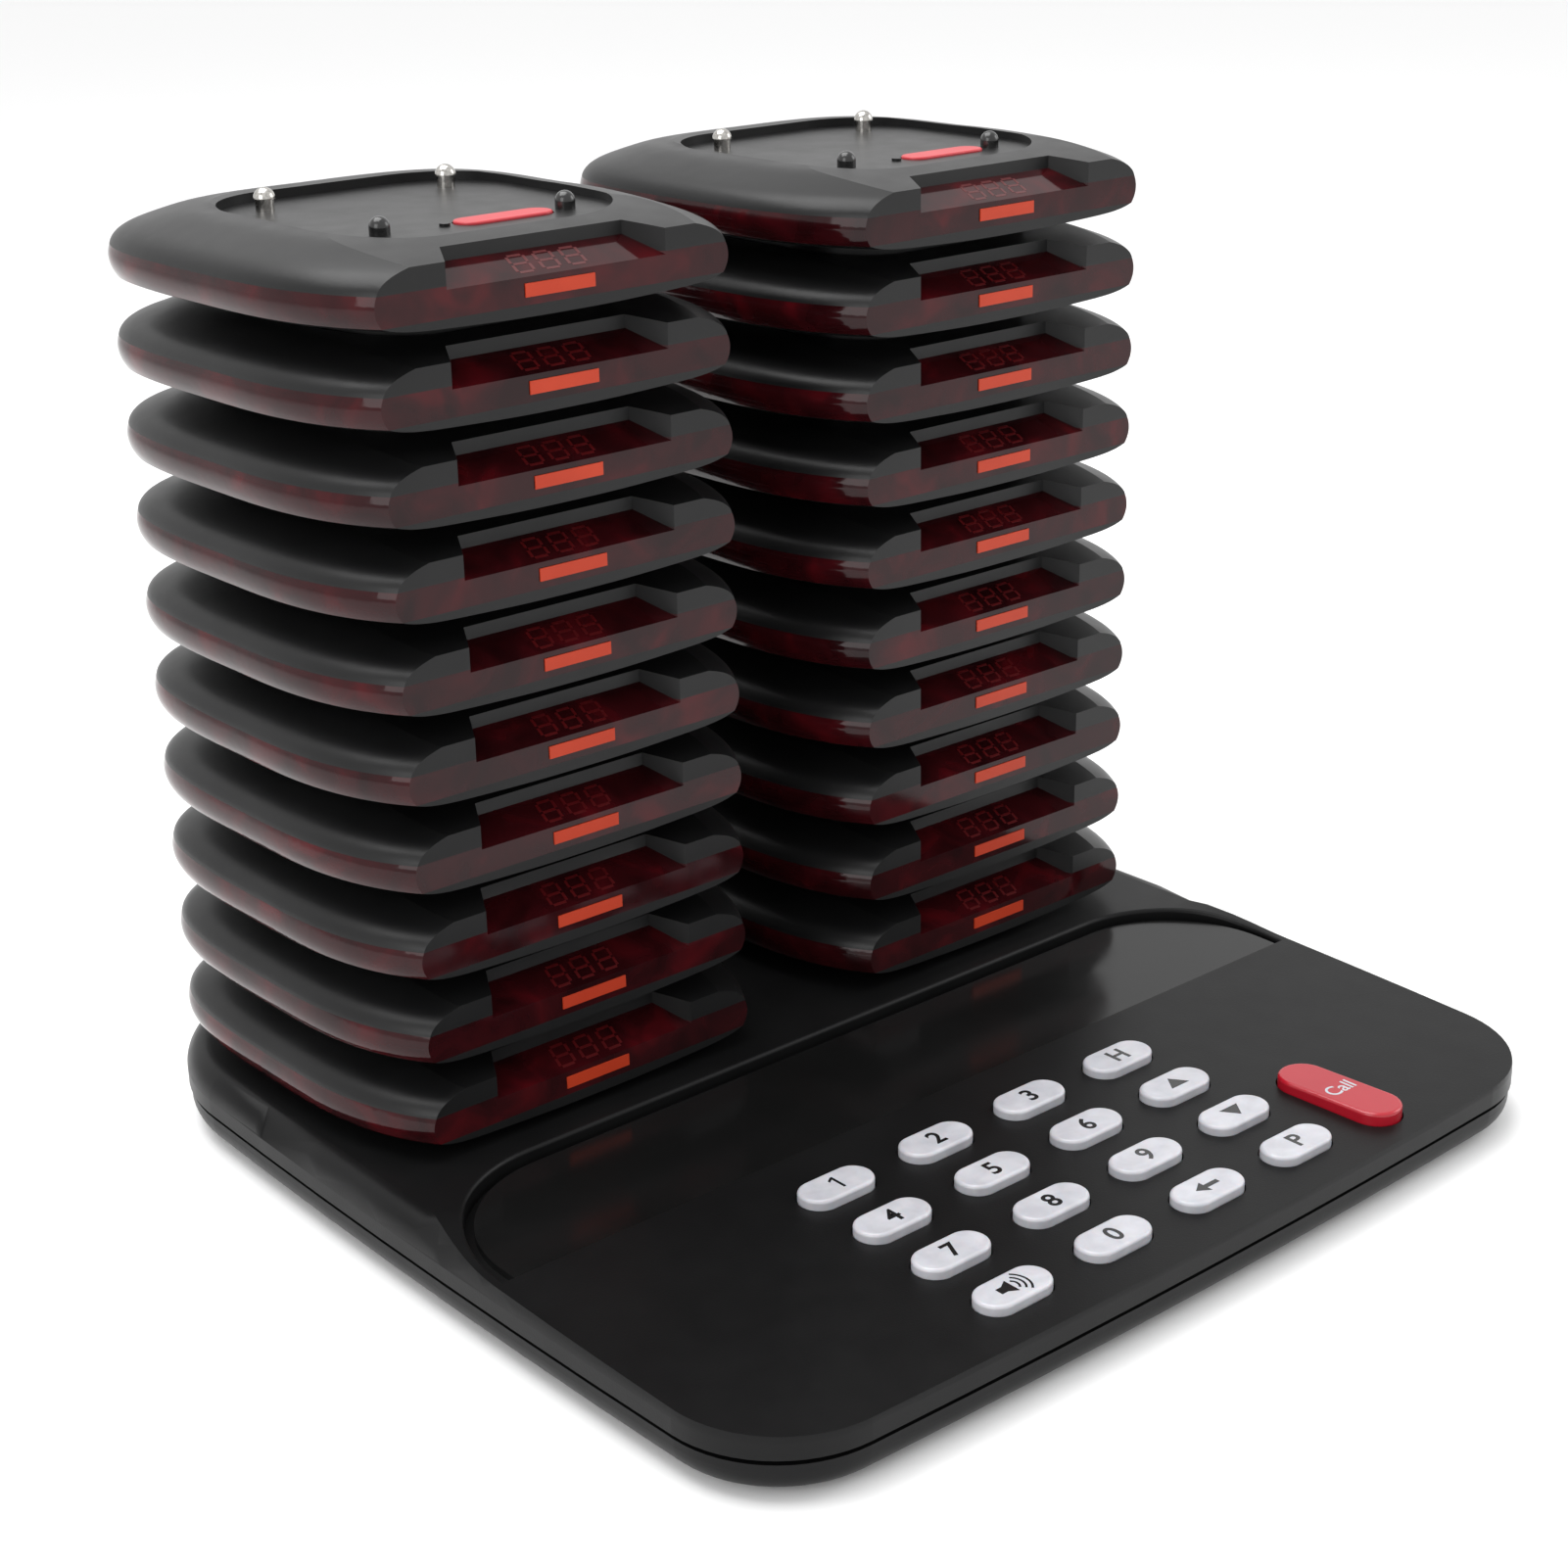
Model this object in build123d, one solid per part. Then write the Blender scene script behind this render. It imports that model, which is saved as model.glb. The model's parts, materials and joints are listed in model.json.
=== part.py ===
from build123d import *
import os
from math import copysign, cos, pi, sin

# Restaurant paging set: a keypad transmitter that is also the charging base,
# with two stacks of ten coaster pagers.  Millimetres, +Z up, origin under the
# centre of the base on the surface it stands on, keypad towards -Y.

# ---------------------------------------------------------------- base size
BASE_HALF_WIDTH = 108.0
BASE_FRONT_Y = -106.5
BASE_REAR_Y = 106.5
BASE_FRONT_CORNER_R = 24.0
BASE_REAR_CORNER_R = 40.0
SIDE_BOW = 2.5
FOOT_HEIGHT = 1.2
PARTING_BOTTOM_Z = 7.7
PARTING_TOP_Z = 8.8
DECK_Z = 17.0
SHOULDER_R = 5.0
BOTTOM_ROUND_R = 5.0
BOTTOM_SHELL_INSET = 0.4
BASE_WALL = 2.8
BASE_ROOF = 2.2
BASE_FLOOR = 2.2
TALL = 40.0

# keypad plane: a shallow slope that starts at the display window
STEP_REAR_Y = -8.5
KEYPAD_REAR_Y = -33.5
KEYPAD_REAR_Z = 14.6
KEYPAD_SLOPE = 0.0203

# display window and its pocket
POCKET_REAR_Y = -1.2
POCKET_HALF_WIDTH = 104.8
POCKET_CORNER_R = 28.0
POCKET_FLOOR_Z = 13.3
POCKET_SKIN = 1.8
POCKET_EDGE_R = 0.8
MOAT_WIDTH = 1.9
DISPLAY_SIZE = (92.0, 18.0)
DISPLAY_Y = -18.0

# keys
KEY_PITCH_X = 25.4
KEY_PITCH_Y = 15.24
KEY_FIRST_X = -41.0
KEY_FIRST_Y = -48.7
KEY_LENGTH = 16.5
KEY_WIDTH = 8.3
KEY_PROUD = 1.8
KEY_GAP = 0.3
KEY_TRAVEL = 1.2
KEY_FLANGE = 1.1
KEY_FLANGE_THICK = 0.8
KEY_EDGE_R = 0.7
CALL_LENGTH = 27.0
CALL_WIDTH = 10.6
CALL_CENTRE = (57.0, -87.5)
CALL_TURN = 4.0
CALL_PROUD = 2.3
KEY_ROWS = (
    ("key_1", "key_2", "key_3", "key_H"),
    ("key_4", "key_5", "key_6", "key_up"),
    ("key_7", "key_8", "key_9", "key_down"),
    ("key_sound", "key_0", "key_back", "key_P"),
)

# boards inside the base
BOARD_BOTTOM_Z = 5.6
BOARD_THICK = 1.6
SHEET_THICK = 0.8

# screws that join the base shells, and the power inlet in the rear wall
SCREW_PLACES = [(-92, -84), (92, -84), (-98, 0), (98, 0), (-84, 86), (84, 86)]
SCREW_R = 1.45
SCREW_BOSS_R = 3.6
SCREW_HEAD_R = 2.9
SCREW_HEAD_Z = 3.0
SCREW_TIP_Z = 11.0
SCREW_BOSS_BOTTOM_Z = 6.0
JACK_X = -30.0
JACK_HALF = 4.6
JACK_Z = (3.6, 12.4)
JACK_Y = (90.0, 104.4)
JACK_GAP = 0.3

# ---------------------------------------------------------------- pager size
STACK_X = 55.0
STACK_Y = 53.5
STACK_COUNT = 10
PAGER_PITCH = 17.0
PAGER_HALF_WIDTH = 47.3
PAGER_MIDDLE_Y = -3.0
PAGER_FRONT_REACH = 60.0
PAGER_REAR_REACH = 51.0
FRONT_POWER = 2.8
REAR_POWER = 4.0
FACET_Y = -48.5
RING_BOTTOM_Z = 4.2
RING_TOP_Z = 9.7
RING_WIDTH = 3.6
LENS_BACK_Y = -45.5
# (height, inset of the outline at that height)
UNDERSIDE = ((1.5, 24.0), (2.1, 14.5), (2.7, 7.7), (3.4, 3.0), (RING_BOTTOM_Z, 0.9))
BARREL = ((RING_BOTTOM_Z, 0.9), (7.0, 0.0), (RING_TOP_Z, 0.4))
DOME = ((RING_TOP_Z, 0.4), (10.9, 0.9), (12.4, 2.4), (13.9, 5.4), (15.3, 9.2), (16.3, 13.2), (16.8, 17.0))
PLAIN_FRONT_CORNER_R = 20.0
PLAIN_REAR_CORNER_R = 27.0
PLAIN_INSETS = (6.0, 0.5, 1.0)
PLAIN_TOP_ROUND_R = 6.0
PLAIN_BOW = 2.6
CREST_Y = -12.0
CREST_DROP_R = 222.0

RECESS_HALF = 31.0
RECESS_CORNER_R = 17.0
RECESS_Y = -3.8
RECESS_DEPTH = 2.0
BOSS_GAP = 0.2
BOSS_SIDE_GAP = 1.0
PIN_X = 20.1
PIN_REAR_Y = 15.8
PEG_FRONT_Y = -23.3
PIN_HEAD_R = 2.05
PIN_NECK_R = 1.75
PIN_SHAFT_R = 1.3
PIN_TALL = 4.4
PEG_R = 1.9
PEG_TALL = 3.3
SOCKET_CLEARANCE = 0.35

NOTCH_BACK_Y = -41.0
NOTCH_BACK_HALF = 19.5
NOTCH_FRONT_HALF = 23.5
WINDOW_TOP_Z = 12.4
WINDOW_CREASE_Z = 9.1
WINDOW_THICK = 1.6
LABEL_SIZE = (15.0, 0.25, 2.4)
LABEL_TOP_Z = 8.0

BUTTON_LENGTH = 20.6
BUTTON_WIDTH = 6.4
BUTTON_X = 6.0
BUTTON_Y = -23.6
BUTTON_PROUD = 0.5
BUTTON_TRAVEL = 0.5
BUTTON_GAP = 0.25
FLOOR_Z = 15.0
FLOOR_SKIN = 1.6
COVER_WALL = 8.0


# ---------------------------------------------------------------- small tools
def block(x0, x1, y0, y1, z0, z1):
    """Box from its corner coordinates."""
    centre = ((x0 + x1) / 2, (y0 + y1) / 2, (z0 + z1) / 2)
    return Pos(*centre) * Box(x1 - x0, y1 - y0, z1 - z0)


def rod(x, y, z0, z1, radius):
    """Upright cylinder between two heights."""
    return Pos(x, y, (z0 + z1) / 2) * Cylinder(radius, z1 - z0)


def slab(face, z0, z1):
    """Upright prism on a flat outline."""
    return extrude(Pos(0, 0, z0) * face, z1 - z0)


def pill(length, width, x, y, z0, z1, turn=0.0):
    """Upright prism with a slot-shaped outline, long axis along X before the turn."""
    outline = Pos(x, y) * Rot(0, 0, turn) * SlotOverall(length, width)
    return slab(outline, z0, z1)


def keypad_z(y):
    """Height of the sloping keypad surface."""
    return KEYPAD_REAR_Z + KEYPAD_SLOPE * (y - KEYPAD_REAR_Y)


def write(name, solids):
    """Write one node: one solid, or a group of separate solids."""
    parts = []
    for item in solids:
        parts.extend(item.solids())
    shape = parts[0] if len(parts) == 1 else Compound(children=parts)
    shape.label = name
    export_step(shape, f"parts/{name}.step")


# ---------------------------------------------------------------- base shells
def base_outline(inset):
    """Bowed rounded rectangle of the base, drawn in by the inset."""
    side = BASE_HALF_WIDTH - inset
    front = BASE_FRONT_Y + inset
    rear = BASE_REAR_Y - inset
    front_left = (-side + SIDE_BOW, front + SIDE_BOW)
    front_right = (side - SIDE_BOW, front + SIDE_BOW)
    rear_right = (side - SIDE_BOW, rear - SIDE_BOW)
    rear_left = (-side + SIDE_BOW, rear - SIDE_BOW)
    edges = [
        ThreePointArc(front_left, (0, front), front_right),
        ThreePointArc(front_right, (side, -10), rear_right),
        ThreePointArc(rear_right, (0, rear), rear_left),
        ThreePointArc(rear_left, (-side, -10), front_left),
    ]
    face = make_face(edges)
    corners = face.vertices().sort_by(Axis.Y)
    face = fillet(corners[:2], BASE_FRONT_CORNER_R - inset)
    corners = face.vertices().sort_by(Axis.Y)
    return fillet(corners[-2:], BASE_REAR_CORNER_R - inset)


def under_top_surface(drop):
    """Everything below the deck, the step and the keypad plane, lowered by the drop."""
    far_front = BASE_FRONT_Y - 10
    far_rear = BASE_REAR_Y + 10
    step_low = (KEYPAD_REAR_Y, KEYPAD_REAR_Z - drop)
    step_high = (STEP_REAR_Y, DECK_Z - drop)
    front_top = (far_front, keypad_z(far_front) - drop)
    edges = [
        Line((far_rear, -TALL), (far_rear, DECK_Z - drop)),
        Line((far_rear, DECK_Z - drop), step_high),
        Spline(step_high, step_low, tangents=[(-1, 0), (-1, -KEYPAD_SLOPE)]),
        Line(step_low, front_top),
        Line(front_top, (far_front, -TALL)),
        Line((far_front, -TALL), (far_rear, -TALL)),
    ]
    profile = Plane.YZ * make_face(edges)
    return extrude(profile, BASE_HALF_WIDTH + 10, both=True)


def pocket_outline(inset):
    """Outline of the display pocket: square front corners, round rear ones."""
    half = POCKET_HALF_WIDTH - inset
    rear = POCKET_REAR_Y - inset
    corners = [(-half, KEYPAD_REAR_Y), (half, KEYPAD_REAR_Y), (half, rear), (-half, rear)]
    face = make_face(Polyline(*corners, close=True))
    rear_corners = face.vertices().sort_by(Axis.Y)[-2:]
    return fillet(rear_corners, POCKET_CORNER_R - inset)


def stack_places():
    """Centres of the two stacks."""
    return [(-STACK_X, STACK_Y), (STACK_X, STACK_Y)]


def recess_outline(x, y, shrink):
    """Rounded square that the boss of a pager sits in."""
    side = 2 * (RECESS_HALF - shrink)
    return Pos(x, y + RECESS_Y) * RectangleRounded(side, side, RECESS_CORNER_R - shrink)


def key_places():
    """Name and centre of each white key."""
    places = []
    for row, names in enumerate(KEY_ROWS):
        for column, name in enumerate(names):
            x = KEY_FIRST_X + column * KEY_PITCH_X
            y = KEY_FIRST_Y - row * KEY_PITCH_Y
            places.append((name, x, y))
    return places


def jack_opening():
    """Space that both shells leave for the power inlet."""
    x0 = JACK_X - JACK_HALF - JACK_GAP
    x1 = JACK_X + JACK_HALF + JACK_GAP
    return block(x0, x1, JACK_Y[0] - JACK_GAP, BASE_REAR_Y + 5, JACK_Z[0] - JACK_GAP, JACK_Z[1] + JACK_GAP)


def is_pocket_rim(edge):
    """True for the straight top edge of the display pocket's rear wall and its rounded ends."""
    middle = edge.center()
    high = middle.Z > KEYPAD_REAR_Z + 1.0
    near_rear = POCKET_REAR_Y - POCKET_CORNER_R < middle.Y < POCKET_REAR_Y + 0.5
    inside = abs(middle.X) < POCKET_HALF_WIDTH
    return high and near_rear and inside and edge.bounding_box().max.Z > DECK_Z - 0.01


def base_top_shell():
    """Upper shell: deck with two recesses, display pocket, sloping keypad panel."""
    outer = slab(base_outline(0), PARTING_TOP_Z, DECK_Z)
    outer = fillet(outer.faces().sort_by(Axis.Z)[-1].edges(), SHOULDER_R)
    outer &= under_top_surface(0)
    pocket = slab(pocket_outline(0), POCKET_FLOOR_Z, TALL)
    outer -= pocket
    rim = [edge for edge in outer.edges() if is_pocket_rim(edge)]
    outer = fillet(rim, POCKET_EDGE_R)
    cavity = slab(base_outline(BASE_WALL), 0, TALL) & under_top_surface(BASE_ROOF)
    cavity -= slab(pocket_outline(-POCKET_SKIN), POCKET_FLOOR_Z - POCKET_SKIN, TALL)
    for x, y in stack_places():
        floor = DECK_Z - RECESS_DEPTH
        cavity -= slab(recess_outline(x, y, -POCKET_SKIN), floor - POCKET_SKIN, TALL)
        outer -= slab(recess_outline(x, y, 0), floor, TALL)
    shell = outer - cavity
    for x, y in SCREW_PLACES:
        roof = min(keypad_z(y), DECK_Z) if y < KEYPAD_REAR_Y else DECK_Z
        shell += rod(x, y, SCREW_BOSS_BOTTOM_Z, roof - BASE_ROOF + 0.5, SCREW_BOSS_R)
        shell -= rod(x, y, 0, SCREW_TIP_Z + 0.3, SCREW_R + 0.05)
    for name, x, y in key_places():
        shell -= pill(KEY_LENGTH + 2 * KEY_GAP, KEY_WIDTH + 2 * KEY_GAP, x, y, 0, TALL)
    call_hole = (CALL_LENGTH + 2 * KEY_GAP, CALL_WIDTH + 2 * KEY_GAP)
    shell -= pill(*call_hole, *CALL_CENTRE, 0, TALL, 90 + CALL_TURN)
    window = block(-DISPLAY_SIZE[0] / 2, DISPLAY_SIZE[0] / 2, DISPLAY_Y - DISPLAY_SIZE[1] / 2,
                   DISPLAY_Y + DISPLAY_SIZE[1] / 2, 0, TALL)
    shell -= window
    for x, y in stack_places():
        floor = DECK_Z - RECESS_DEPTH
        for side in (-1, 1):
            shell -= rod(x + side * PIN_X, y + PIN_REAR_Y, 0, TALL, PIN_SHAFT_R + 0.05)
            shell += peg(x + side * PIN_X, y + PEG_FRONT_Y, floor)
    return shell - jack_opening()


def base_bottom_shell():
    """Lower tray with a rounded underside and a lip that closes the parting groove."""
    tray = slab(base_outline(BOTTOM_SHELL_INSET), FOOT_HEIGHT, PARTING_BOTTOM_Z)
    tray = fillet(tray.faces().sort_by(Axis.Z)[0].edges(), BOTTOM_ROUND_R)
    tray -= slab(base_outline(BASE_WALL + 2.0), FOOT_HEIGHT + BASE_FLOOR, TALL)
    lip = slab(base_outline(BASE_WALL + 0.2), PARTING_BOTTOM_Z - 1.0, PARTING_TOP_Z + 1.2)
    lip -= slab(base_outline(BASE_WALL + 2.0), 0, TALL)
    relief = (CALL_LENGTH + 2 * KEY_FLANGE + 1.0, CALL_WIDTH + 2 * KEY_FLANGE + 1.0)
    lip -= pill(*relief, *CALL_CENTRE, PARTING_TOP_Z, TALL, 90 + CALL_TURN)
    tray += lip
    for x, y in SCREW_PLACES:
        tray += rod(x, y, FOOT_HEIGHT, SCREW_BOSS_BOTTOM_Z - 0.1, SCREW_BOSS_R)
        tray -= rod(x, y, 0, SCREW_HEAD_Z + 0.2, SCREW_HEAD_R + 0.3)
        tray -= rod(x, y, 0, TALL, SCREW_R + 0.15)
    return tray - jack_opening()


def display_window():
    """Dark window that lies flush with the keypad plane."""
    window = slab(pocket_outline(MOAT_WIDTH), POCKET_FLOOR_Z, TALL)
    far_front = BASE_FRONT_Y - 10
    far_rear = BASE_REAR_Y + 10
    corners = [(far_front, -TALL), (far_rear, -TALL), (far_rear, keypad_z(far_rear)),
               (far_front, keypad_z(far_front))]
    profile = Plane.YZ * make_face(Polyline(*corners, close=True))
    return window & extrude(profile, BASE_HALF_WIDTH + 10, both=True)


def display_module():
    """Numeric display under the window, standing on the main board."""
    half_x = DISPLAY_SIZE[0] / 2 - 0.4
    half_y = DISPLAY_SIZE[1] / 2 - 0.4
    bottom = BOARD_BOTTOM_Z + BOARD_THICK
    return block(-half_x, half_x, DISPLAY_Y - half_y, DISPLAY_Y + half_y, bottom, POCKET_FLOOR_Z - 0.1)


def base_main_board():
    """Circuit board with its radio aerial rod."""
    top = BOARD_BOTTOM_Z + BOARD_THICK
    board = block(-86, 86, -78, 80, BOARD_BOTTOM_Z, top)
    board += block(-78, 78, -100, -78, BOARD_BOTTOM_Z, top)
    for x, y in SCREW_PLACES:
        board -= rod(x, y, 0, TALL, SCREW_BOSS_R + 0.5)
    aerial = Pos(62, 30, top + 1.2) * Rot(90, 0, 0) * Cylinder(1.2, 60)
    return [board, aerial]


def key_dome_sheet():
    """Rubber sheet on the board with one collapsing dome under each key."""
    bottom = BOARD_BOTTOM_Z + BOARD_THICK
    top = bottom + SHEET_THICK
    sheet = block(-54, 68, -99.5, -40, bottom, top)
    for name, x, y in key_places():
        sheet += rod(x, y, bottom, key_bottom(y) - KEY_TRAVEL - 0.25, 3.0)
    x, y = CALL_CENTRE
    sheet += rod(x, y, bottom, key_bottom(y) - KEY_TRAVEL - 0.25, 3.4)
    return sheet


def key_bottom(y):
    """Underside of a key's flange at rest."""
    return keypad_z(y) - BASE_ROOF - 0.25 - KEY_FLANGE_THICK - 0.1


def key_cap(length, width, x, y, proud, turn):
    """Pill-shaped key with a rounded top edge and a flange that keeps it in the shell."""
    top = keypad_z(y) + proud
    bottom = key_bottom(y)
    stem = pill(length, width, x, y, bottom, top, turn)
    stem = fillet(stem.faces().sort_by(Axis.Z)[-1].edges(), KEY_EDGE_R)
    reach = 2 * KEY_FLANGE
    flange = pill(length + reach, width + reach, x, y, bottom, bottom + KEY_FLANGE_THICK, turn)
    return stem + flange


def power_inlet():
    """Socket for the mains adapter's round plug."""
    x0 = JACK_X - JACK_HALF
    x1 = JACK_X + JACK_HALF
    body = block(x0, x1, JACK_Y[0], JACK_Y[1], JACK_Z[0], JACK_Z[1])
    middle_z = (JACK_Z[0] + JACK_Z[1]) / 2
    bore = Pos(JACK_X, JACK_Y[1] - 5, middle_z) * Rot(90, 0, 0) * Cylinder(3.2, 10)
    return body - bore


def base_buzzer():
    """Round sounder on the board."""
    bottom = BOARD_BOTTOM_Z + BOARD_THICK
    return rod(0, 40, bottom, bottom + 4.5, 7.0) - rod(0, 40, bottom + 3.5, TALL, 1.2)


def rubber_feet():
    """Four round feet."""
    feet = []
    for x in (-82, 82):
        for y in (-76, 76):
            foot = rod(x, y, 0, FOOT_HEIGHT, 7.0)
            feet.append(chamfer(foot.edges().sort_by(Axis.Z)[0], 0.4))
    return feet


def case_screws():
    """Six screws that hold the two base shells together."""
    screws = []
    for x, y in SCREW_PLACES:
        head = rod(x, y, FOOT_HEIGHT + 0.2, SCREW_HEAD_Z, SCREW_HEAD_R)
        cross = block(x - 1.8, x + 1.8, y - 0.4, y + 0.4, 0, FOOT_HEIGHT + 1.0)
        cross += block(x - 0.4, x + 0.4, y - 1.8, y + 1.8, 0, FOOT_HEIGHT + 1.0)
        screws.append((head - cross) + rod(x, y, SCREW_HEAD_Z, SCREW_TIP_Z, SCREW_R))
    return screws


# ---------------------------------------------------------------- pins and pegs
def pin_head(x, y, floor):
    """Domed charging pin above a recess floor, with its narrower neck."""
    neck_top = floor + PIN_TALL * 0.5
    dome_start = floor + PIN_TALL - PIN_HEAD_R
    pin = rod(x, y, floor, neck_top, PIN_NECK_R)
    pin += rod(x, y, neck_top, dome_start, PIN_HEAD_R)
    ball = Pos(x, y, dome_start) * Sphere(PIN_HEAD_R)
    keep = rod(x, y, dome_start, dome_start + PIN_HEAD_R + 1, PIN_HEAD_R + 1)
    return pin + (ball & keep)


def peg(x, y, floor):
    """Domed plastic locating peg."""
    dome_start = floor + PEG_TALL - PEG_R
    ball = Pos(x, y, dome_start) * Sphere(PEG_R)
    keep = rod(x, y, dome_start, dome_start + PEG_R + 1, PEG_R + 1)
    return rod(x, y, floor, dome_start, PEG_R) + (ball & keep)


def base_charge_pins():
    """Four charging pins in the deck, each with a shaft down to the board."""
    pins = []
    for x, y in stack_places():
        for side in (-1, 1):
            px = x + side * PIN_X
            py = y + PIN_REAR_Y
            floor = DECK_Z - RECESS_DEPTH
            shaft = rod(px, py, BOARD_BOTTOM_Z + BOARD_THICK, floor, PIN_SHAFT_R)
            pins.append(pin_head(px, py, floor) + shaft)
    return pins


# ---------------------------------------------------------------- pager
def pager_outline(inset, z):
    """Superellipse plan of a pager: longer reach in front, where it is cut flat."""
    points = []
    steps = 24
    for step in range(steps):
        angle = 2 * pi * step / steps
        across, along = cos(angle), sin(angle)
        reach = PAGER_REAR_REACH if along >= 0 else PAGER_FRONT_REACH
        power = REAR_POWER if along >= 0 else FRONT_POWER
        x = (PAGER_HALF_WIDTH - inset) * copysign(abs(across) ** (2 / power), across)
        y = (reach - inset) * copysign(abs(along) ** (2 / power), along)
        points.append((x, y + PAGER_MIDDLE_Y, z))
    return make_face(Spline(*points, periodic=True))


def pager_layer(sections):
    """Smooth solid through outlines at several heights, cut flat in front."""
    solid = loft([pager_outline(inset, z) for z, inset in sections])
    return solid - block(-80, 80, -120, FACET_Y, -50, 80)


def plain_prism(inset, z0, z1):
    """Upright prism on the pager's plan drawn with arcs, cut flat in front."""
    side = PAGER_HALF_WIDTH - inset
    rear = PAGER_MIDDLE_Y + PAGER_REAR_REACH - inset
    bow = PLAIN_BOW
    front_left = (-side + bow, FACET_Y)
    front_right = (side - bow, FACET_Y)
    rear_right = (side - bow, rear - bow)
    rear_left = (-side + bow, rear - bow)
    edges = [
        Line(front_left, front_right),
        ThreePointArc(front_right, (side, PAGER_MIDDLE_Y), rear_right),
        ThreePointArc(rear_right, (0, rear), rear_left),
        ThreePointArc(rear_left, (-side, PAGER_MIDDLE_Y), front_left),
    ]
    face = make_face(edges)
    face = fillet(face.vertices().sort_by(Axis.Y)[:2], PLAIN_FRONT_CORNER_R)
    face = fillet(face.vertices().sort_by(Axis.Y)[-2:], PLAIN_REAR_CORNER_R - inset)
    return slab(face, z0, z1)


def crest_space():
    """Everything below the pager's top, which falls away gently towards the front."""
    crest = DOME[-1][0]
    far_y = -75.0
    mid_y = (CREST_Y + far_y) / 2
    mid_z = crest - (CREST_Y - mid_y) ** 2 / (2 * CREST_DROP_R)
    far_z = crest - (CREST_Y - far_y) ** 2 / (2 * CREST_DROP_R)
    edges = [
        Line((80, -20), (80, crest + 1)),
        Line((80, crest + 1), (CREST_Y, crest + 1)),
        Line((CREST_Y, crest + 1), (CREST_Y, crest)),
        ThreePointArc((CREST_Y, crest), (mid_y, mid_z), (far_y, far_z)),
        Line((far_y, far_z), (far_y, -20)),
        Line((far_y, -20), (80, -20)),
    ]
    return extrude(Plane.YZ * make_face(edges), 80, both=True)


def notch_space(z_low):
    """Flared opening in the front of the top shell, over the window."""
    flare = (NOTCH_FRONT_HALF - NOTCH_BACK_HALF) / (NOTCH_BACK_Y - FACET_Y)
    far_y = FACET_Y - 10
    far_half = NOTCH_FRONT_HALF + flare * 10
    corners = [(-NOTCH_BACK_HALF, NOTCH_BACK_Y), (-far_half, far_y), (far_half, far_y),
               (NOTCH_BACK_HALF, NOTCH_BACK_Y)]
    return slab(make_face(Polyline(*corners, close=True)), z_low, TALL)


def window_band(lift, drop):
    """Slanted band between two planes parallel to the window."""
    rise = (WINDOW_TOP_Z - WINDOW_CREASE_Z) / (NOTCH_BACK_Y - FACET_Y)
    y0 = FACET_Y - 20
    y1 = NOTCH_BACK_Y + 20
    z0 = WINDOW_CREASE_Z - rise * 20
    z1 = WINDOW_TOP_Z + rise * 20
    corners = [(y0, z0 - drop), (y1, z1 - drop), (y1, z1 + lift), (y0, z0 + lift)]
    return extrude(Plane.YZ * make_face(Polyline(*corners, close=True)), 80, both=True)


def socket_holes():
    """Blind holes under a pager that take the pins and pegs of the one below."""
    boss_bottom = -RECESS_DEPTH + BOSS_GAP
    holes = []
    for side in (-1, 1):
        x = side * PIN_X
        holes.append(rod(x, PIN_REAR_Y, boss_bottom - 1, TALL, PIN_HEAD_R + SOCKET_CLEARANCE))
        peg_top = -RECESS_DEPTH + PEG_TALL + 0.5
        holes.append(rod(x, PEG_FRONT_Y, boss_bottom - 1, peg_top, PEG_R + SOCKET_CLEARANCE))
    button_top = -RECESS_DEPTH + BUTTON_PROUD + 0.5
    holes.append(pill(BUTTON_LENGTH + 6, BUTTON_WIDTH + 3, BUTTON_X - 1.5, BUTTON_Y,
                      boss_bottom - 1, button_top))
    return holes


def pager_bottom_shell(blank):
    """Shallow tray whose boss nests in the recess of whatever is below."""
    shell = blank
    boss_bottom = -RECESS_DEPTH + BOSS_GAP
    shell += slab(recess_outline(0, 0, BOSS_SIDE_GAP), boss_bottom, UNDERSIDE[0][0] + 0.6)
    inner = slab(recess_outline(0, 0, BOSS_SIDE_GAP + 2.0), boss_bottom + 1.6, TALL)
    shell -= inner
    for side in (-1, 1):
        shell += rod(side * PIN_X, PIN_REAR_Y, boss_bottom, RING_BOTTOM_Z, 4.2)
        shell += rod(side * PIN_X, PEG_FRONT_Y, boss_bottom, RING_BOTTOM_Z, 4.2)
    shell += pill(BUTTON_LENGTH + 9, BUTTON_WIDTH + 6, BUTTON_X - 1.5, BUTTON_Y,
                  boss_bottom, -RECESS_DEPTH + BUTTON_PROUD + 2.0)
    for hole in socket_holes():
        shell -= hole
    return shell


def pager_light_ring(blank):
    """Translucent band around the pager, open in front where the lens is."""
    ring = blank - plain_prism(RING_WIDTH, RING_BOTTOM_Z - 1, RING_TOP_Z + 1)
    return ring - block(-80, 80, -120, LENS_BACK_Y, -50, 80)


def pager_front_lens(blank):
    """Flat front lens with the slanted window that covers the display."""
    front = block(-80, 80, -120, LENS_BACK_Y, -50, 80)
    lens = (blank & front) - (notch_space(0) & window_band(TALL, 0))
    window = notch_space(0) & window_band(0, WINDOW_THICK)
    window &= block(-80, 80, FACET_Y, NOTCH_BACK_Y, 0, TALL)
    return lens + window


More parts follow.
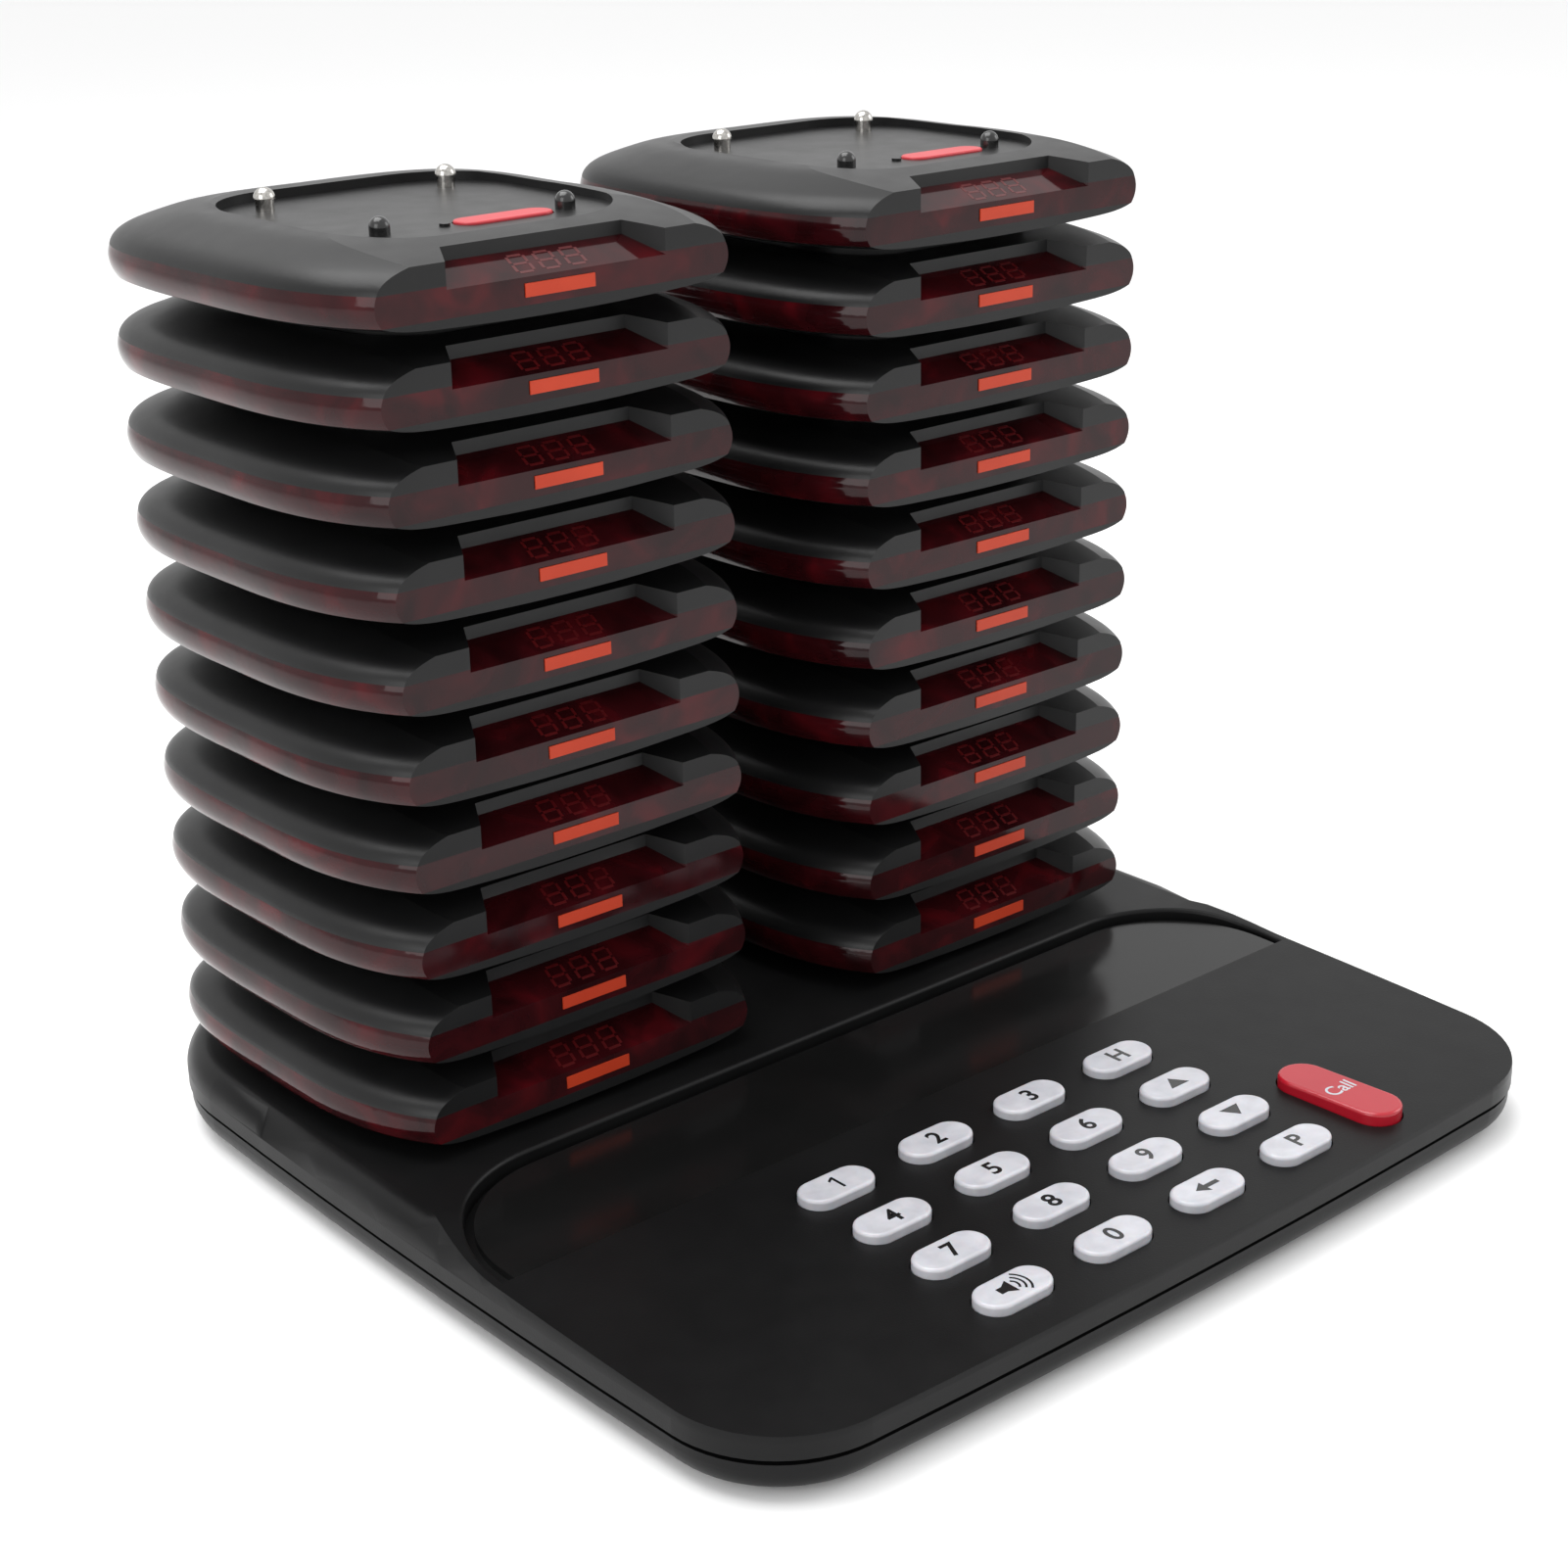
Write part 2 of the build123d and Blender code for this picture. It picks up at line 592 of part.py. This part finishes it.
def pager_top_shell(blank):
    """Domed cover with a recess, button opening and the notch over the window."""
    shell = blank & crest_space()
    behind_notch = block(-80, 80, NOTCH_BACK_Y + 2, 80, 0, TALL)
    shell -= plain_prism(COVER_WALL, RING_TOP_Z - 1, FLOOR_Z - FLOOR_SKIN) & behind_notch
    shell -= slab(recess_outline(0, 0, 0), FLOOR_Z, TALL)
    shell -= notch_space(0)
    gap = 2 * BUTTON_GAP
    shell -= pill(BUTTON_LENGTH + gap, BUTTON_WIDTH + gap, BUTTON_X, BUTTON_Y, 0, TALL)
    shell += rod(BUTTON_X - BUTTON_LENGTH / 2 - 2.4, BUTTON_Y, FLOOR_Z - 0.5, FLOOR_Z + 0.5, 1.0)
    for side in (-1, 1):
        shell -= rod(side * PIN_X, PIN_REAR_Y, 0, TALL, PIN_SHAFT_R + 0.05)
        shell -= rod(side * PIN_X, PEG_FRONT_Y, 0, TALL, PIN_SHAFT_R + 0.05)
    return shell


def pager_number_label():
    """Plain bright label on the lens."""
    length, thick, tall = LABEL_SIZE
    return block(-length / 2, length / 2, FACET_Y - thick, FACET_Y, LABEL_TOP_Z - tall, LABEL_TOP_Z)


def pager_circuit_board():
    """Round-cornered board under the cover."""
    board = plain_prism(8.0, 7.2, 8.4) - block(-80, 80, -120, -36, -50, 80)
    for side in (-1, 1):
        board -= rod(side * PIN_X, PIN_REAR_Y, 0, TALL, PIN_SHAFT_R + 0.1)
    return board


def pager_display():
    """Slim numeric display behind the slanted window."""
    gap = 0.3
    band = window_band(-WINDOW_THICK - gap, WINDOW_THICK + gap + 1.6)
    return band & block(-15, 15, LENS_BACK_Y + 0.6, NOTCH_BACK_Y - 0.4, 0, TALL)


def pager_battery():
    """Flat rechargeable cell in the tray."""
    cell = block(-15, 15, -16, 24, 0.2, 4.6)
    return fillet(cell.edges().filter_by(Axis.Z), 2.5)


def pager_vibration_motor():
    """Coin vibration motor on the underside of the board."""
    return rod(0, -29.5, 4.2, 7.2, 5.0)


def pager_charge_pins():
    """Two pins: contact disc over the socket below, shaft, domed head on top."""
    pins = []
    for side in (-1, 1):
        x = side * PIN_X
        pin = pin_head(x, PIN_REAR_Y, FLOOR_Z)
        pin += rod(x, PIN_REAR_Y, RING_BOTTOM_Z, FLOOR_Z, PIN_SHAFT_R)
        pins.append(pin + rod(x, PIN_REAR_Y, RING_BOTTOM_Z, RING_BOTTOM_Z + 0.8, 3.6))
    return pins


def pager_locating_pegs():
    """Two plastic pegs pushed into the cover."""
    pegs = []
    for side in (-1, 1):
        x = side * PIN_X
        stem = rod(x, PEG_FRONT_Y, FLOOR_Z - FLOOR_SKIN, FLOOR_Z, PIN_SHAFT_R)
        pegs.append(peg(x, PEG_FRONT_Y, FLOOR_Z) + stem)
    return pegs


def pager_button():
    """Pill button with a rounded edge and a retaining flange under the cover."""
    bottom = FLOOR_Z - FLOOR_SKIN - 0.95
    cap = pill(BUTTON_LENGTH, BUTTON_WIDTH, BUTTON_X, BUTTON_Y, bottom, FLOOR_Z + BUTTON_PROUD)
    cap = fillet(cap.faces().sort_by(Axis.Z)[-1].edges(), 0.35)
    return cap + pill(BUTTON_LENGTH + 1.6, BUTTON_WIDTH + 1.6, BUTTON_X, BUTTON_Y, bottom, bottom + 0.7)


def smooth_blanks():
    """Curved outer bodies of the bottom shell, the light ring and the cover."""
    return pager_layer(UNDERSIDE), pager_layer(BARREL), pager_layer(DOME)


def plain_blanks():
    """The same three bodies drawn with arcs, for the pagers lower in the stacks."""
    under, barrel, cover = PLAIN_INSETS
    top = plain_prism(cover, RING_TOP_Z, DOME[-1][0])
    rim = top.faces().sort_by(Axis.Z)[-1].edges().sort_by(Axis.Y)[1:]
    return (
        plain_prism(under, UNDERSIDE[0][0], RING_BOTTOM_Z),
        plain_prism(barrel, RING_BOTTOM_Z, RING_TOP_Z),
        fillet(rim, PLAIN_TOP_ROUND_R),
    )


def pager_pieces(blanks):
    """Every piece of one pager in its own coordinates, in the order it is assembled."""
    under, barrel, cover = blanks
    return {
        "bottom_shell": [pager_bottom_shell(under)],
        "battery": [pager_battery()],
        "vibration_motor": [pager_vibration_motor()],
        "circuit_board": [pager_circuit_board()],
        "display": [pager_display()],
        "charge_pins": pager_charge_pins(),
        "light_ring": [pager_light_ring(barrel)],
        "front_lens": [pager_front_lens(barrel)],
        "number_label": [pager_number_label()],
        "top_shell": [pager_top_shell(cover)],
        "locating_pegs": pager_locating_pegs(),
        "button": [pager_button()],
    }


def write_base():
    """Pieces of the keypad base."""
    write("base_bottom_shell", [base_bottom_shell()])
    write("base_top_shell", [base_top_shell()])
    write("display_window", [display_window()])
    write("display_module", [display_module()])
    write("base_main_board", base_main_board())
    write("key_dome_sheet", [key_dome_sheet()])
    write("base_charge_pins", base_charge_pins())
    write("power_inlet", [power_inlet()])
    write("base_buzzer", [base_buzzer()])
    write("rubber_feet", rubber_feet())
    write("case_screws", case_screws())
    for name, x, y in key_places():
        write(name, [key_cap(KEY_LENGTH, KEY_WIDTH, x, y, KEY_PROUD, 0.0)])
    write("key_call", [key_cap(CALL_LENGTH, CALL_WIDTH, *CALL_CENTRE, CALL_PROUD, 90 + CALL_TURN)])


def write_pagers():
    """Two stacks: the top left pager as separate nodes, the others one node each."""
    smooth = pager_pieces(smooth_blanks())
    plain = pager_pieces(plain_blanks())
    for side, (x, y) in zip(("left", "right"), stack_places()):
        for level in range(1, STACK_COUNT + 1):
            place = Location((x, y, DECK_Z + (level - 1) * PAGER_PITCH))
            name = f"pager_{side}_{level:02d}"
            top = level == STACK_COUNT
            pieces = smooth if top and side == "left" else plain
            whole = []
            for piece, solids in pieces.items():
                moved = [solid.moved(place) for solid in solids]
                if top and (side == "left" or piece == "button"):
                    write(f"{name}_{piece}", moved)
                else:
                    whole.extend(moved)
            if whole:
                write(name, whole)


os.makedirs("parts", exist_ok=True)
write_base()
write_pagers()
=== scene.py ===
import json
import math

import bpy
from mathutils import Matrix, Vector

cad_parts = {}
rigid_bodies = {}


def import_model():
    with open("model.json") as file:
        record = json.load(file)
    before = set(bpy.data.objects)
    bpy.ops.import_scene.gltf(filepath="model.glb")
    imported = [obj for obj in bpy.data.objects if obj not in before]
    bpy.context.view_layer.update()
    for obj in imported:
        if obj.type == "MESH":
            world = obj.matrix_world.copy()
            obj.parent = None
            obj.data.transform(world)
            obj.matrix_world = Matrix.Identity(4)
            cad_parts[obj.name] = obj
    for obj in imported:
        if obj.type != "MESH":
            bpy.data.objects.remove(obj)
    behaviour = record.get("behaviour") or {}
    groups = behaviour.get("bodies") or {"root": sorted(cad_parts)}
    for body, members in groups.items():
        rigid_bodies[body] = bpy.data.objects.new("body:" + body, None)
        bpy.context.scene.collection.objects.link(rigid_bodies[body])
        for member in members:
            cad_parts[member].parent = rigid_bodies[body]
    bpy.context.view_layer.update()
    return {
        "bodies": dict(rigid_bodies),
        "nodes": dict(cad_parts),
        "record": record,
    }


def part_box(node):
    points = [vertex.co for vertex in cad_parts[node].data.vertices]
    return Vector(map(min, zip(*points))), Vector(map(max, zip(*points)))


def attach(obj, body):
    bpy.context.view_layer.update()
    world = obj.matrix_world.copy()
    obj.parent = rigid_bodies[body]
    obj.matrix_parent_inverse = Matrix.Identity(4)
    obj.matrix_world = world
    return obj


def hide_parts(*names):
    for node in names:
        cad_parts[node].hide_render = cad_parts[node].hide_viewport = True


# Restaurant paging set: procedural finishes on the CAD base, keys and top left
# pager, and the same pager's pieces repeated for the rest of both stacks.
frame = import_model()
MM = 0.001
TOP_PAGER = "pager_left_10"
SHOWN_PIECES = {
    "bottom_shell": "pager_plastic",
    "top_shell": "pager_plastic",
    "light_ring": "red_lens",
    "front_lens": "red_lens",
    "number_label": "label_orange",
    "charge_pins": "chrome_pins",
    "locating_pegs": "black_gloss",
    "button": "button_red",
}


# ---------------------------------------------------------------- materials
def new_material(name):
    """Material with its node tree, shader and object coordinates ready."""
    material = bpy.data.materials.new(name)
    material.use_nodes = True
    tree = material.node_tree
    shader = next(node for node in tree.nodes if node.type == "BSDF_PRINCIPLED")
    coords = tree.nodes.new("ShaderNodeTexCoord")
    return material, tree, shader, coords.outputs["Object"]


def noise(tree, vector, scale, detail=3.0, distortion=0.0):
    """Noise texture on the given coordinates."""
    node = tree.nodes.new("ShaderNodeTexNoise")
    node.inputs["Scale"].default_value = scale
    node.inputs["Detail"].default_value = detail
    node.inputs["Distortion"].default_value = distortion
    tree.links.new(vector, node.inputs["Vector"])
    return node.outputs["Fac"]


def ramp(tree, value, stops):
    """Colour ramp with (position, colour) stops."""
    node = tree.nodes.new("ShaderNodeValToRGB")
    elements = node.color_ramp.elements
    while len(elements) < len(stops):
        elements.new(0.5)
    for element, (position, colour) in zip(elements, stops):
        element.position = position
        element.color = (*colour, 1.0)
    tree.links.new(value, node.inputs["Fac"])
    return node.outputs["Color"]


def spread(tree, value, low, high):
    """Maps a 0 to 1 value to a range."""
    node = tree.nodes.new("ShaderNodeMapRange")
    node.inputs["To Min"].default_value = low
    node.inputs["To Max"].default_value = high
    tree.links.new(value, node.inputs["Value"])
    return node.outputs["Result"]


def bump(tree, height, shader, strength, distance):
    """Bump from a height value."""
    node = tree.nodes.new("ShaderNodeBump")
    node.inputs["Strength"].default_value = strength
    node.inputs["Distance"].default_value = distance
    tree.links.new(height, node.inputs["Height"])
    tree.links.new(node.outputs["Normal"], shader.inputs["Normal"])


def moulded(name, dark, light, rough, grain, depth, coat=0.0, gleam=0.5):
    """Moulded plastic or rubber: slight colour drift, uneven gloss, fine spark grain."""
    material, tree, shader, coords = new_material(name)
    drift = noise(tree, coords, 45.0)
    tree.links.new(ramp(tree, drift, [(0.3, dark), (0.7, light)]), shader.inputs["Base Color"])
    wear = noise(tree, coords, 160.0, 5.0)
    tree.links.new(spread(tree, wear, rough - 0.05, rough + 0.06), shader.inputs["Roughness"])
    bump(tree, noise(tree, coords, grain, 2.0), shader, 0.35, depth)
    shader.inputs["Specular IOR Level"].default_value = gleam
    shader.inputs["Coat Weight"].default_value = coat
    shader.inputs["Coat Roughness"].default_value = 0.08
    return material


def red_lens():
    """Deep red polished plastic with darker and warmer patches from the parts behind it."""
    material, tree, shader, coords = new_material("red_lens")
    stops = [
        (0.32, (0.012, 0.0016, 0.0022)),
        (0.55, (0.026, 0.0024, 0.0035)),
        (0.78, (0.060, 0.0030, 0.0048)),
    ]
    patches = noise(tree, coords, 95.0, 2.5, 0.6)
    tree.links.new(ramp(tree, patches, stops), shader.inputs["Base Color"])
    tree.links.new(spread(tree, noise(tree, coords, 300.0), 0.05, 0.12), shader.inputs["Roughness"])
    bump(tree, noise(tree, coords, 120.0), shader, 0.06, 0.0001)
    shader.inputs["Specular IOR Level"].default_value = 0.24
    return material


def silicone():
    """Milky key rubber: faint blue-grey cloud inside a soft satin skin."""
    material, tree, shader, coords = new_material("key_white")
    cloud = noise(tree, coords, 220.0, 4.0, 0.4)
    tree.links.new(ramp(tree, cloud, [(0.3, (0.42, 0.42, 0.455)), (0.7, (0.52, 0.52, 0.555))]),
                   shader.inputs["Base Color"])
    tree.links.new(spread(tree, cloud, 0.30, 0.42), shader.inputs["Roughness"])
    bump(tree, noise(tree, coords, 900.0), shader, 0.08, 0.00005)
    shader.inputs["Subsurface Weight"].default_value = 0.15
    shader.inputs["Subsurface Scale"].default_value = 0.001
    shader.inputs["Coat Weight"].default_value = 0.25
    shader.inputs["Coat Roughness"].default_value = 0.12
    return material


def plated_metal(name, dark, light, rough):
    """Plated or plain metal with fine turning marks."""
    material, tree, shader, coords = new_material(name)
    marks = noise(tree, coords, 1500.0, 2.0)
    tree.links.new(ramp(tree, marks, [(0.3, dark), (0.7, light)]), shader.inputs["Base Color"])
    tree.links.new(spread(tree, marks, rough, rough + 0.08), shader.inputs["Roughness"])
    shader.inputs["Metallic"].default_value = 1.0
    return material


MATERIALS = {
    "base_plastic": moulded(
        "base_plastic", (0.0045, 0.0045, 0.0047), (0.0065, 0.0065, 0.0067),
        0.36, 2600.0, 0.00005, gleam=0.15,
    ),
    "pager_plastic": moulded(
        "pager_plastic", (0.0045, 0.0045, 0.0047), (0.0070, 0.0070, 0.0072),
        0.36, 3200.0, 0.00003, gleam=0.28,
    ),
    "window_black": moulded(
        "window_black", (0.005, 0.005, 0.005), (0.007, 0.007, 0.007),
        0.16, 400.0, 0.00001, gleam=0.3,
    ),
    "key_white": silicone(),
    "call_red": moulded(
        "call_red", (0.35, 0.006, 0.016), (0.41, 0.009, 0.021),
        0.24, 800.0, 0.00002, 0.2,
    ),
    "button_red": moulded(
        "button_red", (0.42, 0.020, 0.030), (0.48, 0.028, 0.038),
        0.40, 1500.0, 0.00002,
    ),
    "red_lens": red_lens(),
    "label_orange": moulded(
        "label_orange", (0.38, 0.031, 0.009), (0.44, 0.040, 0.012),
        0.40, 1200.0, 0.00002, gleam=0.25,
    ),
    "chrome_pins": plated_metal("chrome_pins", (0.36, 0.35, 0.33), (0.58, 0.56, 0.53), 0.14),
    "black_gloss": moulded(
        "black_gloss", (0.008, 0.008, 0.008), (0.012, 0.012, 0.012),
        0.22, 900.0, 0.00002, 0.2,
    ),
    "black_rubber": moulded(
        "black_rubber", (0.014, 0.014, 0.014), (0.022, 0.022, 0.022),
        0.75, 1400.0, 0.0001,
    ),
    "dome_rubber": moulded("dome_rubber", (0.28, 0.28, 0.29), (0.34, 0.34, 0.35), 0.6, 1400.0, 0.00005),
    "circuit_board": moulded(
        "circuit_board", (0.008, 0.070, 0.028), (0.014, 0.10, 0.04),
        0.3, 500.0, 0.00005, 0.3,
    ),
    "circuit_parts": moulded(
        "circuit_parts", (0.030, 0.030, 0.033), (0.045, 0.045, 0.05),
        0.3, 700.0, 0.00003,
    ),
    "battery_wrap": moulded(
        "battery_wrap", (0.06, 0.09, 0.22), (0.08, 0.12, 0.27),
        0.25, 300.0, 0.00003, 0.3,
    ),
    "digit_red": moulded(
        "digit_red", (0.060, 0.0025, 0.0035), (0.072, 0.003, 0.004),
        0.3, 900.0, 0.00001,
    ),
    "screw_steel": plated_metal("screw_steel", (0.40, 0.40, 0.41), (0.56, 0.56, 0.57), 0.3),
}


def dress(piece, slot):
    """Gives a piece the material of one of the record's slots."""
    piece.data.materials.clear()
    piece.data.materials.append(MATERIALS[slot])


def dress_frame():
    """Finishes on every CAD node, by the record's own slots."""
    for entry in frame["record"]["subparts"]:
        node = frame["nodes"][entry["node"]]
        for index in range(len(node.data.materials)):
            node.data.materials[index] = MATERIALS[entry["material_slot"]]


# ---------------------------------------------------------------- pagers
def middle_x(node):
    """Middle of a node's box along X."""
    low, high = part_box(node)
    return (low[0] + high[0]) / 2


def repeat_pager(name):
    """The top left pager's visible pieces again, in the place of another pager."""
    dx = middle_x(name) - middle_x(f"{TOP_PAGER}_top_shell")
    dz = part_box(name)[0][2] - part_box(f"{TOP_PAGER}_bottom_shell")[0][2]
    own_button = f"{name}_button" in frame["nodes"]
    for piece_name, slot in SHOWN_PIECES.items():
        if piece_name == "button" and own_button:
            continue
        source = frame["nodes"][f"{TOP_PAGER}_{piece_name}"]
        piece = bpy.data.objects.new(f"{name}.{piece_name}", source.data.copy())
        bpy.context.scene.collection.objects.link(piece)
        piece.data.transform(Matrix.Translation((dx, 0, dz)))
        dress(piece, slot)
        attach(piece, f"{name}_body")
        if piece_name == "top_shell":
            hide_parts(name)
    add_digits(name, dx, dz)


# ---------------------------------------------------------------- legends
def add_mesh(name, mesh, slot, body):
    """Links a new mesh as a piece that rides a body."""
    piece = bpy.data.objects.new(name, mesh)
    bpy.context.scene.collection.objects.link(piece)
    dress(piece, slot)
    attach(piece, body)
    return piece


def top_centre(node):
    """Centre of a node's top face."""
    low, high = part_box(node)
    return Vector(((low[0] + high[0]) / 2, (low[1] + high[1]) / 2, high[2]))


INK = 0.03 * MM


def text_mark(node, words, height, slot, bold):
    """Printed characters, thin and flat, on the top of a key."""
    curve = bpy.data.curves.new(f"ink_{node}", "FONT")
    curve.body = words
    curve.size = height
    curve.align_x = "CENTER"
    curve.align_y = "CENTER"
    curve.extrude = INK
    curve.offset = bold
    maker = bpy.data.objects.new(f"maker_{node}", curve)
    bpy.context.scene.collection.objects.link(maker)
    depsgraph = bpy.context.evaluated_depsgraph_get()
    mesh = bpy.data.meshes.new_from_object(maker.evaluated_get(depsgraph))
    bpy.data.objects.remove(maker)
    middle_y = (min(v.co.y for v in mesh.vertices) + max(v.co.y for v in mesh.vertices)) / 2
    mesh.transform(Matrix.Translation((0, -middle_y, 0)))
    mesh.transform(Matrix.Translation(top_centre(node)))
    return add_mesh(f"legend_{node}", mesh, slot, f"{node}_body")


def shape_mark(node, outlines):
    """Printed icon made of flat outlines in millimetres about the key's centre."""
    centre = top_centre(node)
    vertices = []
    faces = []
    for outline in outlines:
        first = len(vertices)
        for level in (-INK, INK):
            for x, y in outline:
                vertices.append(centre + Vector((x * MM, y * MM, level)))
        count = len(outline)
        faces.append([first + count + i for i in range(count)])
        faces.append([first + i for i in reversed(range(count))])
        for i in range(count):
            j = (i + 1) % count
            faces.append([first + i, first + j, first + count + j, first + count + i])
    mesh = bpy.data.meshes.new(f"icon_{node}")
    mesh.from_pydata(vertices, [], faces)
    return add_mesh(f"legend_{node}", mesh, "black_gloss", f"{node}_body")


def arc_band(radius, width, half_angle, x, y):
    """Outline of a curved sound wave."""
    steps = 10
    angles = [-half_angle + 2 * half_angle * i / steps for i in range(steps + 1)]
    outer = [(x + radius * math.cos(a), y + radius * math.sin(a)) for a in angles]
    inside = radius - width
    inner = [(x + inside * math.cos(a), y + inside * math.sin(a)) for a in reversed(angles)]
    return outer + inner


LEGEND_HEIGHT = 5.9 * MM
LEGEND_BOLD = 0.13 * MM
CALL_HEIGHT = 4.7 * MM
CALL_BOLD = 0.04 * MM


def add_legends():
    """Generic digits and symbols on the keys."""
    for digit in "234567890":
        text_mark(f"key_{digit}", digit, LEGEND_HEIGHT, "black_gloss", LEGEND_BOLD)
    text_mark("key_H", "H", LEGEND_HEIGHT, "black_gloss", LEGEND_BOLD)
    text_mark("key_P", "P", LEGEND_HEIGHT, "black_gloss", LEGEND_BOLD)
    text_mark("key_call", "Call", CALL_HEIGHT, "key_white", CALL_BOLD)
    one = [(0.1, -2.1), (0.7, -2.1), (0.7, 2.1), (0.2, 2.1), (-0.9, 1.3), (-0.9, 0.7), (0.1, 1.35)]
    shape_mark("key_1", [one])
    shape_mark("key_up", [[(-2.5, -1.6), (2.5, -1.6), (0, 1.9)]])
    shape_mark("key_down", [[(-2.5, 1.6), (0, -1.9), (2.5, 1.6)]])
    arrow = [(-3.2, 0), (-0.6, 1.7), (-0.6, 0.55), (2.8, 0.55), (2.8, -0.55), (-0.6, -0.55), (-0.6, -1.7)]
    shape_mark("key_back", [arrow])
    cone = [(-3.4, -0.9), (-2.0, -0.9), (-0.2, -2.0), (-0.2, 2.0), (-2.0, 0.9), (-3.4, 0.9)]
    waves = [arc_band(r, 0.45, 0.85, -0.6, 0.0) for r in (1.9, 3.0, 4.1)]
    shape_mark("key_sound", [cone, *waves])


# ---------------------------------------------------------------- display digits
CREASE_ABOVE_LENS_BOTTOM = 4.9 * MM
DIGIT_PITCH = 5.6 * MM
DIGIT_HALF_WIDTH = 1.75 * MM
DIGIT_HALF_HEIGHT = 2.6 * MM
SEGMENT_HALF = 0.32 * MM
DIGIT_LEAN = 0.12


def digit_bars():
    """The seven bars of one digit as (x0, x1, y0, y1) about its centre."""
    w, h, t = DIGIT_HALF_WIDTH, DIGIT_HALF_HEIGHT, SEGMENT_HALF
    bars = [(-w + t, w - t, y - t, y + t) for y in (-h, 0, h)]
    for x in (-w, w):
        bars.append((x - t, x + t, -h + t, -t))
        bars.append((x - t, x + t, t, h - t))
    return bars


def add_digits(name, dx, dz):
    """Unlit segments of the numeric display, just showing on the slanted window."""
    low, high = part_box(f"{TOP_PAGER}_front_lens")
    crease_z = low[2] + CREASE_ABOVE_LENS_BOTTOM
    slope = Vector((0, high[1] - low[1], high[2] - crease_z))
    middle = Vector(((low[0] + high[0]) / 2 + dx, (low[1] + high[1]) / 2, (crease_z + high[2]) / 2 + dz))
    along = slope.normalized()
    out = Vector((0, -along.z, along.y))
    vertices = []
    faces = []
    for number in (-1, 0, 1):
        for x0, x1, y0, y1 in digit_bars():
            first = len(vertices)
            for lift in (-INK, INK):
                for x, y in ((x0, y0), (x1, y0), (x1, y1), (x0, y1)):
                    sheared = x + number * DIGIT_PITCH + DIGIT_LEAN * y
                    vertices.append(middle + Vector((sheared, 0, 0)) + along * y + out * lift)
            faces.append([first + i for i in (3, 2, 1, 0)])
            faces.append([first + 4 + i for i in range(4)])
            for i in range(4):
                j = (i + 1) % 4
                faces.append([first + i, first + j, first + 4 + j, first + 4 + i])
    mesh = bpy.data.meshes.new(f"digits_{name}")
    mesh.from_pydata(vertices, [], faces)
    piece = add_mesh(f"{name}.digits", mesh, "red_lens", f"{name}_body")
    piece.data.materials[0] = MATERIALS["digit_red"]


# ---------------------------------------------------------------- set and view
def add_stage():
    """Pale floor under the set."""
    mesh = bpy.data.meshes.new("floor")
    half = 6.0
    corners = [(-half, -half, 0), (half, -half, 0), (half, half, 0), (-half, half, 0)]
    mesh.from_pydata(corners, [], [(0, 1, 2, 3)])
    floor = bpy.data.objects.new("floor", mesh)
    bpy.context.scene.collection.objects.link(floor)
    material, _, shader, _ = new_material("floor_paper")
    shader.inputs["Base Color"].default_value = (0.93, 0.93, 0.93, 1)
    shader.inputs["Roughness"].default_value = 0.9
    mesh.materials.append(material)


def add_light(name, place, target, size, power):
    """Soft square light aimed at a point."""
    data = bpy.data.lights.new(name, "AREA")
    data.shape = "SQUARE"
    data.size = size
    data.energy = power
    light = bpy.data.objects.new(name, data)
    bpy.context.scene.collection.objects.link(light)
    light.location = place
    aim = Vector(target) - Vector(place)
    light.rotation_euler = aim.to_track_quat("-Z", "Y").to_euler()


def add_lights():
    """White room light with a large soft light overhead and one to each side."""
    world = bpy.data.worlds.new("studio")
    world.use_nodes = True
    world.node_tree.nodes["Background"].inputs["Color"].default_value = (1, 1, 1, 1)
    world.node_tree.nodes["Background"].inputs["Strength"].default_value = 1.0
    bpy.context.scene.world = world
    add_light("overhead", (-0.15, 0.25, 1.1), (0, 0, 0.05), 0.9, 11.0)
    add_light("left", (-1.1, -0.35, 0.55), (0, 0, 0.08), 0.7, 4.0)
    add_light("right", (1.0, -0.5, 0.6), (0, 0, 0.05), 0.6, 3.0)


def add_camera():
    """Camera in front and to the left, looking down on the set."""
    yaw, pitch, roll = 0.7035, 0.3684, -0.0197
    right = Vector((math.cos(yaw), -math.sin(yaw), 0))
    look = Vector((math.sin(yaw) * math.cos(pitch), math.cos(yaw) * math.cos(pitch), -math.sin(pitch)))
    up = right.cross(look)
    tilted_right = math.cos(roll) * right + math.sin(roll) * up
    tilted_up = math.cos(roll) * up - math.sin(roll) * right
    data = bpy.data.cameras.new("camera")
    data.lens = 60.83
    data.sensor_width = 36.0
    data.clip_start = 0.01
    camera = bpy.data.objects.new("camera", data)
    bpy.context.scene.collection.objects.link(camera)
    turn = Matrix((tilted_right, tilted_up, -look)).transposed().to_4x4()
    camera.matrix_world = Matrix.Translation((-0.3253, -0.3712, 0.2611)) @ turn
    bpy.context.scene.camera = camera


bpy.context.scene.view_settings.view_transform = "Standard"
add_camera()
add_lights()
add_stage()
dress_frame()
for body in frame["bodies"]:
    if body.startswith("pager") and body.endswith("_body") and "button" not in body:
        pager = body[: -len("_body")]
        if pager != TOP_PAGER:
            repeat_pager(pager)
add_digits(TOP_PAGER, 0, 0)
add_legends()
